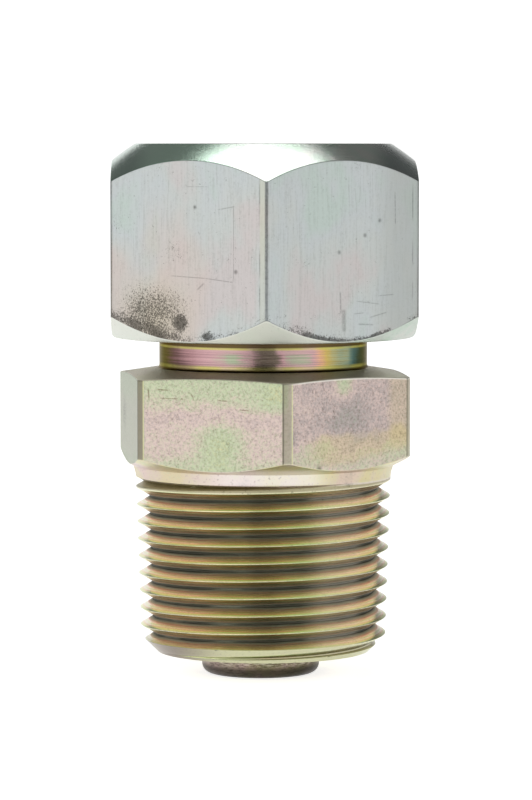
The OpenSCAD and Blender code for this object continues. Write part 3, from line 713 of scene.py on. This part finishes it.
def yellow_zinc_thread(sizes, colours):
    """Yellow chromate in a cut thread: olive and bronze, with green, orange and dark bands down the flanks; its
    pale crests and dark roots are painted highlight and shade.
    """
    f = Finish("Yellow chromated zinc, cut pipe thread")
    x, _, z = f.xyz
    front, off_front = f.azimuth, f.off(f.azimuth)
    # Depth under the crests and under the end's chamfer
    crest = f.total(f.share(z, sizes.taper / 2), 1000 * (sizes.crest_d - sizes.length * sizes.taper) / 2)
    cone = f.total(z, 1000 * sizes.end_d / 2)
    deep = f.total(f.joined("MINIMUM", (crest, cone)), f.share(f.radius, -1.0))
    cloud = f.grain(0.16, stretch=(1, 1, 0.5))
    streak = f.grain(1.0, 3.0, 0.6, (0.25, 0.25, 5.0))
    sand = f.grain(4.0, 3.0, 0.7)
    share = f.total(f.share(deep, 0.70), f.swing(cloud, 0.3), f.swing(streak, 0.10))
    # By depth: the pale crests are a painted highlight and the dark roots painted shade
    middle = f.add("ValToRGB", {0: share}, stops=[
        (0.00, "F0EBCB"), (0.06, "CDD8A4"), (0.16, "BFD08C"), (0.22, "D69A7C"), (0.29, "CDBE90"),
        (0.40, "B4BC86"), (0.50, colours.olive), (0.62, colours.bronze), (0.70, "C09A80"), (0.80, "B4B6A4"),
        (0.91, "9A9C8C"), (0.975, "55574A")])
    sides = f.add("ValToRGB", {0: share}, stops=[
        (0.00, "F0EBD2"), (0.07, "D3DAA6"), (0.16, "DDDC9E"), (0.26, "E2C19C"), (0.36, "EBDCC8"),
        (0.46, "D0D3A0"), (0.56, "EACFB8"), (0.68, "D6A88C"), (0.76, "CEC6B2"), (0.90, "A6A698"),
        (0.975, "55564A")])
    # The last groove, under the collar's foot, is plainer, with painted brown shade where it fades and more
    # grit; the end's chamfer is pinkish on its left
    unwound = f.total(z, f.share(front, -1000 * sizes.pitch / TAU))
    fading = f.share((unwound, 17.72, 17.90), (front, -2.2, -1.4))
    foot = f.total(z, f.share(cloud, 0.2))
    chamfer = f.share((f.total(crest, f.share(cone, -1.0)), 0.0, 0.06), (deep, 0.12, 0.05))
    gritty = f.total(0.35, (z, 16.0, 17.4, 0.0, 0.35), f.share(fading, 0.3))
    # Over the film: painted shade down the front middle, painted highlights right of the front, and painted
    # shade in the grooves near the end
    colour = f.over(
        middle, (sides, (off_front, 0.25, 0.65)), ("66583C", (off_front, 0.19, 0.04), (deep, 0.14, 0.28), 0.15),
        ("CFE0B4", (front, 0.10, 0.35), (front, 0.80, 0.55), (deep, 0.9, 0.2), 0.5),
        ("F4EEE2", (front, 0.3, 0.6), (front, 1.1, 0.9), 0.28), ("C9C1A4", (z, 17.4, 18.1, 0.0, 0.75)),
        ("978D6E", fading, 0.72), ("DDD3C6", (foot, 18.38, 18.50), 0.85),
        ("A5A184", (z, 1.9, 1.3), (deep, 0.08, 0.22), 0.85),
        (f.over("8F847A", ("CCCCAC", (x, -10.0, -3.0))), chamfer), ("5A5340", (sand, 0.58, 0.72), gritty))
    # The film is thick and dull in the root
    root = f.share((deep, 0.75, 1.15))
    rough = f.total(0.17, f.share(sand, 0.12), f.share(root, 0.35), f.share(fading, 0.15))
    return f.finished(colour, rough, streak, 0.3, 0.02, f.total(1.0, f.share(root, -0.35)))


def yellow_zinc_cup():
    """Yellow chromate on a loose pressed cup: rubbed, scratched and pinkish, with painted shade on its right and
    round its lower edge.
    """
    f = Finish("Yellow chromated zinc, rubbed cup")
    x, _, z = f.xyz
    scuffs = f.grain(1.4, 4.0, 0.8, (0.9, 0.9, 5.0))
    colour = f.add("ValToRGB", {0: f.grain(0.5, 3.0)}, stops=[
        (0.36, "868468"), (0.5, "95896F"), (0.64, "A8928A")])
    # Painted shade on the right and round the lower edge; pinkish on the left; light and dark scuffs
    colour = f.over(
        colour, ("4F4A3E", (x, 0.0, 6.0, 0.0, 0.55)), ("C2AEAA", (x, -1.0, -4.5, 0.0, 0.6)),
        ("E2DCCB", (scuffs, 0.515, 0.545), (z, -1.4, -0.4), 0.8), ("3D382E", (scuffs, 0.49, 0.45), 0.6),
        ("2E2B26", (z, -0.9, -1.6), 0.82))
    return f.finished(colour, f.total(0.30, f.share(scuffs, 0.15)), scuffs, 0.4, 0.03)


def plain_metal(name, colour, roughness, stretch, scale):
    """Metal with fine tool marks of its own direction, lighter and darker by a few percent."""
    f = Finish(name)
    marks = f.grain(scale, 3.0, 0.6, stretch)
    colour = f.toned(colour, marks, (0.3, 0.78), (0.6, 1.0))
    return f.finished(colour, f.total(roughness, f.share(marks, 0.12)), marks, 0.3, 0.02)


def soft_finish(name, colour, roughness, scale, ior):
    """Rubber or fibre: a dull skin with a fine mottled grain."""
    f = Finish(name)
    mottle = f.grain(scale, 3.0, 0.6)
    colour = f.toned(colour, mottle, (0.3, 0.70), (0.65, 1.0))
    return f.finished(colour, f.total(roughness, f.share(mottle, 0.1)), mottle, 0.3, 0.02, 0.0, {"IOR": ior})


def dress_cad(node, material):
    """Gives a CAD node that keeps its own shape its finish."""
    set_finishes(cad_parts[node], [material])


def studio_paper(name, colour, light):
    """White paper that glows for the eye and, less, in polished parts; light gives its glow from the two."""
    f = Finish(name)
    path = f.add("LightPath").node
    mirrored = f.total(path.outputs["Is Glossy Ray"], path.outputs["Is Transmission Ray"])
    f.feed(f.shader, {"Base Color": colour, "Roughness": 0.9, "Specular IOR Level": 0.0,
                      "Emission Color": "FFFFFF",
                      "Emission Strength": light(f, path.outputs["Is Camera Ray"], mirrored)})
    return f.material


# ---------------------------------------------------------------- operators

class VENTCAP_OT_body(bpy.types.Operator):
    """Body: pipe thread, collar, hexagon, neck and the thread for the cap, with its bore"""
    bl_idname = "ventcap.body"
    bl_label = "Body"

    def execute(self, context):
        settings = context.scene.vent_cap
        pipe, body, upper, bore = settings.pipe_thread, settings.body, settings.cap_thread, settings.bore
        angles = column_angles(body.turn)
        count = len(angles)
        # Pipe thread: its last groove fades out under the collar, right of the front
        fade = pipe.length + pipe.pitch / 6
        first = fade - pipe.pitch / 4
        below = math.ceil((first + pipe.pitch / 2 + pipe.pitch * angles[0] / TAU) / pipe.pitch)
        crest_at = lambda z: pipe.crest_d / 2 - (pipe.length - z) * pipe.taper / 2
        depth_at = lambda z: pipe.depth * (1 - np.exp(-np.maximum(fade - z, 0) / pipe.pitch / pipe.runout))
        r, z, step = thread_rows(angles, pipe.pitch, depth_at, crest_at, pipe.root_flat,
                                 first - below * pipe.pitch, below + 2)
        cone = lambda h: pipe.end_d / 2 + h
        r, z = trimmed(r, z, lambda radius, h: radius - cone(h))
        r = np.minimum(r, cone(np.maximum(z, 0)))
        # The collar's foot fills the upper side of the last groove
        z_foot = pipe.length - pipe.foot_h
        foot = lambda h: crest_at(z_foot) - pipe.foot_slope * (z_foot - h)
        r, z = trimmed(r, z, lambda radius, h: radius - foot(h))
        r = np.maximum(r, foot(np.minimum(z, z_foot)))
        lower = closed_ends(r, z, step, (pipe.end_d / 2, 0.0), (crest_at(z_foot), z_foot))
        # Collar, hexagon and neck
        z_hex = pipe.length + body.collar_h
        z_neck = z_hex + body.hex_h
        z_relief = z_neck + body.neck_h
        neck_r, turned_r, collar_r = body.neck_d / 2, body.turned_d / 2, body.collar_d / 2
        hexagon = hexagon_radius(angles, body.turn, body.across_flats, body.turned_d)
        under = z_hex + (hexagon - collar_r) * body.chamfer_h / (turned_r - collar_r)
        over = z_neck - (hexagon - neck_r) * body.crown_drop / (turned_r - neck_r)
        fillet = [(neck_r + body.fillet * (1 - math.sin(a)), z_neck + body.fillet * (1 - math.cos(a)), 0, 1)
                  for a in np.linspace(0, math.pi / 2, 6)]
        middle = rows_through([
            (crest_at(z_foot), z_foot, 0, 2), (body.collar_low_d / 2, pipe.length, 0, 4),
            (collar_r, z_hex, 0, 2), (hexagon, under, body.edge, 10), (hexagon, over, body.edge, 8),
            *fillet[:-1], (*fillet[-1][:3], 6), (neck_r, z_relief, 0, 1)], count)
        # Thread for the cap, turned down at both ends
        root_r = upper.crest_d / 2 - upper.depth
        z_thread, end_r = upper.top - upper.lead, root_r - upper.relief
        r, z, step = thread_rows(angles, upper.pitch, lambda h: np.full_like(h, upper.depth),
                                 lambda h: np.full_like(h, upper.crest_d / 2), upper.root_flat,
                                 z_relief - 1.5 * upper.pitch, 9)
        low_cone = lambda h: neck_r + h - z_relief
        high_cone = lambda h: end_r + z_thread - h
        for limit in (low_cone, high_cone):
            r, z = trimmed(r, z, lambda radius, h: radius - limit(h))
        r = np.minimum(r, np.minimum(low_cone(np.maximum(z, z_relief)), high_cone(np.minimum(z, z_thread))))
        threaded = closed_ends(r, z, step, (neck_r, z_relief), (end_r, z_thread))
        # Upper end, seat chamber, throat and inlet bore
        chamber_r, seat_r = bore.chamber_d / 2, bore.seat_d / 2
        throat_r, inlet_r = bore.throat_d / 2, bore.inlet_d / 2
        z_floor = upper.top - bore.chamber_h
        z_seat = z_floor + bore.seat_h
        inside = rows_through([
            (end_r, z_thread, 0, 1), (root_r - upper.lead, upper.top, 0, 2), (chamber_r, upper.top, 0, 3),
            (chamber_r, z_floor, 0, 1), (seat_r, z_floor, 0, 1), (seat_r, z_seat, 0, 1),
            (throat_r, z_seat, 0, 4), (throat_r, bore.inlet_h, 0, 1),
            (inlet_r, bore.inlet_h, 0, 8), (inlet_r, bore.inlet_edge, 0, 1),
            (inlet_r + bore.inlet_edge, 0.0, 0, 2), (pipe.end_d / 2, 0.0, 0, 1)], count)
        piece = turned_piece("body_plated", angles, [lower, middle, threaded, inside])
        # The milled flats are upright; inside and on cones the body is turned
        colours, near, tiny, upright = settings.colours, 0.00005, 1e-6, 0.3
        finishes = [yellow_zinc_flats(body, z_neck, colours), yellow_zinc_turned(colours),
                    yellow_zinc_neck(colours), yellow_zinc_thread(pipe, colours)]
        set_finishes(piece, finishes, lambda radius, h, tilt: (
            1 if radius < chamber_r + near or h > z_relief else
            3 if tiny < h < z_foot else
            2 if h > z_neck + tiny and radius < neck_r + body.fillet + near else
            0 if abs(tilt) < upright and z_hex < h < z_neck else 1))
        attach(piece, "fitting")
        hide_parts("body")
        return {'FINISHED'}


class VENTCAP_OT_cap(bpy.types.Operator):
    """Cap: chamfered hexagon with its thread, its recess for the screen and its vent hole"""
    bl_idname = "ventcap.cap"
    bl_label = "Cap"

    def execute(self, context):
        settings = context.scene.vent_cap
        body, upper, cap = settings.body, settings.cap_thread, settings.cap
        angles = column_angles(cap.turn)
        count = len(angles)
        hexagon = hexagon_radius(angles, cap.turn, cap.across_flats, cap.turned_d)
        corner_r, top_r, rim_r = cap.turned_d / 2, cap.top_d / 2, cap.rim_d / 2
        # Lower chamfer from the rounded rim, and the slightly domed upper one
        arc = [(rim_r - cap.rim_r + cap.rim_r * math.sin(a), cap.low + cap.rim_r * (1 - math.cos(a)), 0, 1)
               for a in np.linspace(0, math.pi / 4, 5)]
        r_arc, z_arc = arc[-1][:2]
        under = z_arc + (hexagon - r_arc) * (cap.low + cap.low_chamfer_h - z_arc) / (corner_r - r_arc)
        t = np.linspace(0, 1, 200)
        run, rise = top_r - corner_r, cap.top_chamfer_h
        stand = 4 * t * (1 - t) * cap.bulge / math.hypot(run, rise)
        dome_r = corner_r + run * t + stand * rise
        dome_z = cap.high - rise + rise * t - stand * run
        over = np.interp(-hexagon, -dome_r, dome_z)
        dome = []
        for share in np.linspace(0, 1, 13)[1:]:
            radius = hexagon + (top_r - hexagon) * share
            dome.append((radius, np.interp(-radius, -dome_r, dome_z), 0, 1))
        hole_r, bore_mouth = cap.hole_d / 2, cap.mouth_d / 2
        z_thread = upper.top - upper.lead
        outside = rows_through([
            (bore_mouth, cap.low, 0, 2), *arc[:-1], (*arc[-1][:3], 4), (hexagon, under, cap.edge, 14),
            (hexagon, over, cap.edge, 1), *dome[:-1], (top_r, cap.high, cap.top_edge, 6),
            (hole_r + cap.hole_edge, cap.high, 0, 1), (hole_r, cap.high - cap.hole_edge, 0, 3),
            (hole_r, cap.outlet_h, 0, 2),
            (cap.outlet_d / 2, cap.outlet_h, 0, 2), (cap.outlet_d / 2, cap.shoulder, 0, 2),
            (cap.pack_d / 2, cap.shoulder, 0, 3), (cap.pack_d / 2, z_thread, 0, 1)], count)
        # Thread in the cap, a constant gap outside the body's
        z_relief = settings.pipe_thread.length + body.collar_h + body.hex_h + body.neck_h
        r, z, step = thread_rows(angles, upper.pitch, lambda h: np.full_like(h, upper.depth),
                                 lambda h: np.full_like(h, upper.crest_d / 2 + upper.gap), upper.root_flat,
                                 z_relief - 3.5 * upper.pitch, 11)
        mouth = lambda h: bore_mouth - (h - cap.low)
        for limit in (mouth, lambda h: np.full_like(h, cap.pack_d / 2)):
            r, z = trimmed(r, z, lambda radius, h: radius - limit(h))
        r = np.maximum(r, np.maximum(mouth(np.maximum(z, cap.low)), cap.pack_d / 2))
        threaded = closed_ends(r, z, step, (bore_mouth, cap.low), (cap.pack_d / 2, z_thread))
        piece = turned_piece("cap_plated", angles, [outside, threaded])
        colours, near, upright = settings.colours, 0.0001, 0.3
        finishes = [clear_zinc_flats(cap, colours), clear_zinc_turned(colours)]
        set_finishes(piece, finishes, lambda radius, h, tilt: (
            0 if abs(tilt) < upright and radius > cap.across_flats / 2 - near else 1))
        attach(piece, "cap_shell")
        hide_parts("cap")
        return {'FINISHED'}


class VENTCAP_OT_spring(bpy.types.Operator):
    """Valve spring: round wire with a closed coil at each end"""
    bl_idname = "ventcap.spring"
    bl_label = "Valve spring"

    def execute(self, context):
        small = context.scene.vent_cap.small
        low, high, wire, coils = small.spring_low, small.spring_high, small.spring_wire, small.spring_coils
        t = np.linspace(0, coils, coils * 32 + 1)
        rise = (high - low - 3 * wire) / (coils - 2)
        closed = np.minimum(t, 1) + np.maximum(0, t - coils + 1)
        z = low + wire / 2 + wire * closed + rise * np.clip(t - 1, 0, coils - 2)
        path = np.stack([small.spring_d / 2 * np.cos(TAU * t), small.spring_d / 2 * np.sin(TAU * t), z], axis=1)
        piece = tubes("valve_spring_coiled", [path], wire, 14)
        stainless = context.scene.vent_cap.colours.stainless
        set_finishes(piece, [plain_metal("Stainless steel, coiled wire", stainless, 0.24, (3, 3, 3), 1.0)])
        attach(piece, "fitting")
        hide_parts("valve_spring")
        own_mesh(piece)
        return {'FINISHED'}


class VENTCAP_OT_spring_cup(bpy.types.Operator):
    """Spring cup: the loose round end that shows under the pipe thread"""
    bl_idname = "ventcap.spring_cup"
    bl_label = "Spring cup"

    def execute(self, context):
        small = context.scene.vent_cap.small
        low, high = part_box("spring_cup")[0][2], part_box("spring_cup")[1][2]
        angles = np.linspace(0, TAU, 145)[:-1]
        cup_r, recess_r, edge = small.cup_d / 2, small.cup_recess_d / 2, small.cup_edge
        arc = [(cup_r - edge + edge * math.sin(a), low + edge * (1 - math.cos(a)), 0, 1)
               for a in np.linspace(0, math.pi / 2, 10)]
        in_r, hole, web = small.cup_in_d / 2, small.cup_web_hole_d / 2, low + small.cup_recess_h
        web_top = web + small.cup_web_h
        rows = rows_through([
            (recess_r, low, 0, 1), *arc[:-1], (*arc[-1][:3], 5), (cup_r, high, small.cup_mouth, 1),
            (in_r, high, 0, 3),
            (in_r, web_top, 0, 2), (hole, web_top, 0, 1), (hole, web, 0, 2), (recess_r, web, 0, 2),
            (recess_r, low, 0, 1)], len(angles))
        piece = turned_piece("spring_cup_plated", angles, [rows], -small.cup_shift)
        set_finishes(piece, [yellow_zinc_cup()])
        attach(piece, "valve")
        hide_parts("spring_cup")
        return {'FINISHED'}


class VENTCAP_OT_screen(bpy.types.Operator):
    """Vent screen: a woven wire disc in a rolled rim"""
    bl_idname = "ventcap.screen"
    bl_label = "Vent screen"

    def execute(self, context):
        small = context.scene.vent_cap.small
        (x0, _, low), (x1, _, high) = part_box("vent_screen")
        outer, middle = (x1 - x0) / 2, (low + high) / 2
        rim, edge = outer - small.screen_rim, small.screen_edge
        pitch, wire = small.screen_pitch, small.screen_wire
        # Each wire waves over and under the others, just inside the screen's thickness
        swing = 0.98 * (high - low - wire) / 2
        count = int(rim / pitch)
        paths = []
        for i in range(-count, count + 1):
            offset = i * pitch
            reach = math.sqrt(rim ** 2 - offset ** 2) + small.screen_held
            along = np.linspace(-reach, reach, max(int(2 * reach / pitch * 6), 5))
            wave = swing * np.cos(math.pi * (along / pitch + i))
            paths.append(np.stack([along, np.full_like(along, offset), middle + wave], axis=1))
            paths.append(np.stack([np.full_like(along, offset), along, middle - wave], axis=1))
        weave = tubes("vent_screen_weave", paths, wire, 6)
        angles = np.linspace(0, TAU, 97)[:-1]
        rim_rows = rows_through([
            (rim, low, 0, 1), (outer, low, edge, 1), (outer, high, edge, 1), (rim, high, edge, 1),
            (rim, low, 0, 1)], len(angles))
        ring = turned_piece("vent_screen_rim", angles, [rim_rows])
        stainless = context.scene.vent_cap.colours.stainless
        finish = plain_metal("Stainless steel, woven wire", stainless, 0.26, (3, 3, 3), 1.0)
        for piece in (weave, ring):
            set_finishes(piece, [finish])
            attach(piece, "screen_pack")
            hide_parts("vent_screen")
        return {'FINISHED'}


class VENTCAP_OT_metal_parts(bpy.types.Operator):
    """Brass and steel parts that keep the frame's own shapes: plate, poppet, guide, washers, clip and nut"""
    bl_idname = "ventcap.metal_parts"
    bl_label = "Brass and steel parts"

    def execute(self, context):
        colours = context.scene.vent_cap.colours
        brass = plain_metal("Brass, turned", colours.brass, 0.20, (0.4, 0.4, 7.0), 1.0)
        for node in ("stop_plate", "valve_poppet", "stem_guide"):
            dress_cad(node, brass)
        steel = plain_metal("Stainless steel, punched and turned", colours.stainless, 0.26, (3, 3, 3), 1.2)
        for node in ("seal_retainer", "lock_washer", "lock_nut"):
            dress_cad(node, steel)
        blackened = plain_metal("Spring steel, oil blackened", colours.black_steel, 0.35, (2, 2, 2), 1.0)
        dress_cad("retaining_clip", blackened)
        return {'FINISHED'}


class VENTCAP_OT_soft_parts(bpy.types.Operator):
    """Rubber seal and fibre gasket"""
    bl_idname = "ventcap.soft_parts"
    bl_label = "Seal and gasket"

    def execute(self, context):
        colours = context.scene.vent_cap.colours
        dress_cad("valve_seal", soft_finish("Nitrile rubber, moulded", colours.rubber, 0.55, 1.5, 1.52))
        dress_cad("cap_gasket", soft_finish("Vulcanised fibre, punched", colours.fibre, 0.65, 2.0, 1.5))
        return {'FINISHED'}


def soft_box(name, place, aim, width, height, level, shape='RECTANGLE'):
    """Area lamp whose face has a given brightness, where 1 is white."""
    lamp = bpy.data.lights.new(name, 'AREA')
    lamp.shape, lamp.size, lamp.size_y = shape, width, height
    lamp.energy = level * math.pi * width * height * (math.pi / 4 if shape == 'ELLIPSE' else 1)
    box = bpy.data.objects.new(name, lamp)
    box.location = place
    box.rotation_euler = (Vector(aim) - Vector(place)).to_track_quat('-Z', 'Y').to_euler()
    box.visible_camera = False
    bpy.context.scene.collection.objects.link(box)


# The photograph's camera: its place in metres, pitch in degrees, and focal length and longer side in pixels
EYE, EYE_PITCH, FOCAL_PX, LONG_SIDE_PX = (0.000295, -0.39628, 0.05345), 3.900, 3764.08, 800
SENSOR_MM = 36.0


class VENTCAP_OT_stage(bpy.types.Operator):
    """Stage: white floor and round wall, three soft boxes, a dark card behind the camera, and the camera"""
    bl_idname = "ventcap.stage"
    bl_label = "Stage"

    def execute(self, context):
        scene = context.scene
        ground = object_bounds()[0][2]
        paper = scene.vent_cap.colours.floor

        def floor_light(f, seen, mirrored):
            away = f.add("VectorMath", {0: f.position}, out=1, operation="LENGTH")
            return f.share(f.total(seen, f.share(mirrored, 0.85)), (away, 50.0, 450.0, 0.78, 1.0))

        def wall_light(f, seen, mirrored):
            # The paper is white all round for the eye; its sides get less light, which polished parts mirror
            lit = f.add("ValToRGB", {0: f.total(f.share(f.azimuth, 1 / TAU), 0.5)}, stops=[
                (0.00, 1.0), (0.07, 0.95), (0.11, 0.20), (0.15, 0.20), (0.19, 0.42), (0.29, 0.45), (0.34, 0.66),
                (0.66, 0.62), (0.72, 0.36), (0.962, 0.25), (0.982, 1.0)])
            return f.total(seen, f.share(mirrored, lit))

        felt = Finish("Studio card, black felt")
        felt.feed(felt.shader, {"Base Color": "26241F", "Roughness": 0.95, "Specular IOR Level": 0.0})
        floor_r, wall_h, sides = 1.6, 0.55, 96
        turns = np.linspace(0, TAU, sides + 1)[:-1]
        low = [(floor_r * math.cos(a), floor_r * math.sin(a), ground) for a in turns]
        high = [(x, y, ground + wall_h) for x, y, _ in low]
        wall = [(i, i + sides, (i + 1) % sides + sides, (i + 1) % sides) for i in range(sides)]
        # The middle of round polished parts reflects the card
        half, back, top = 0.14, -0.62, 0.35
        card = [(-half, back, ground), (half, back, ground), (half, back, top), (-half, back, top)]
        floor_paper = studio_paper("Studio floor, matt white", paper, floor_light)
        wall_paper = studio_paper("Studio wall, white paper", paper, wall_light)
        for name, vertices, faces, material in (
                ("studio_floor", low, [list(range(sides))], floor_paper),
                ("studio_wall", low + high, wall, wall_paper),
                ("camera_card", card, [(0, 1, 2, 3)], felt.material)):
            mesh = bpy.data.meshes.new(name)
            mesh.from_pydata(vertices, [], faces)
            mesh.materials.append(material)
            piece = bpy.data.objects.new(name, mesh)
            piece.visible_camera = name != "camera_card"
            scene.collection.objects.link(piece)
            piece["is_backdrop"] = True
        middle = (0.0, 0.0, 0.030)
        soft_box("soft_box_top", (0.0, 0.03, 0.62), middle, 0.50, 0.52, 2.2, 'ELLIPSE')
        soft_box("soft_box_left", (-0.44, -0.32, 0.22), middle, 0.62, 0.50, 0.50)
        soft_box("soft_box_right", (0.47, -0.28, 0.22), middle, 0.56, 0.50, 0.36)
        scene.world = bpy.data.worlds.new("studio_room")
        scene.world.use_nodes = True
        room = scene.world.node_tree.nodes["Background"].inputs
        room["Color"].default_value, room["Strength"].default_value = (0.49, 0.51, 0.50, 1.0), 0.34
        camera = bpy.data.cameras.new("photo_camera")
        camera.sensor_fit, camera.sensor_width, camera.sensor_height = 'AUTO', SENSOR_MM, SENSOR_MM
        camera.lens = SENSOR_MM * FOCAL_PX / LONG_SIDE_PX
        camera.clip_start, camera.clip_end = 0.01, 20.0
        eye = bpy.data.objects.new("photo_camera", camera)
        eye.location = EYE
        eye.rotation_euler = (math.radians(90 - EYE_PITCH), 0.0, 0.0)
        scene.collection.objects.link(eye)
        scene.camera = eye
        scene.view_settings.view_transform = 'Standard'
        return {'FINISHED'}


class VENTCAP_PT_pieces(bpy.types.Panel):
    """Pieces of the vent cap and their sizes"""
    bl_idname = "VENTCAP_PT_pieces"
    bl_label = "Vent cap"
    bl_space_type = 'VIEW_3D'
    bl_region_type = 'UI'
    bl_category = "Vent cap"

    def draw(self, context):
        for operator in OPERATORS:
            self.layout.operator(operator.bl_idname)
        settings = context.scene.vent_cap
        for group in ("pipe_thread", "body", "bore", "cap_thread", "cap", "small", "colours"):
            box = self.layout.box()
            box.label(text=settings.bl_rna.properties[group].name)
            for name in getattr(settings, group).bl_rna.properties.keys():
                if name not in ("rna_type", "name"):
                    box.prop(getattr(settings, group), name)


GROUPS = (VentCapPipeThread, VentCapBody, VentCapBore, VentCapCapThread, VentCapCap, VentCapSmallParts,
          VentCapColours, VentCapSettings)
OPERATORS = (VENTCAP_OT_stage, VENTCAP_OT_body, VENTCAP_OT_cap, VENTCAP_OT_spring_cup, VENTCAP_OT_spring,
             VENTCAP_OT_screen, VENTCAP_OT_metal_parts, VENTCAP_OT_soft_parts)


def register():
    for item in (*GROUPS, *OPERATORS, VENTCAP_PT_pieces):
        bpy.utils.register_class(item)
    bpy.types.Scene.vent_cap = PointerProperty(name="Vent cap", type=VentCapSettings)


def unregister():
    del bpy.types.Scene.vent_cap
    for item in reversed((*GROUPS, *OPERATORS, VENTCAP_PT_pieces)):
        bpy.utils.unregister_class(item)


def main():
    """Makes the stage and all pieces in order."""
    register()
    for operator in OPERATORS:
        group, name = operator.bl_idname.split(".")
        getattr(getattr(bpy.ops, group), name)()


if __name__ == "__main__":
    main()
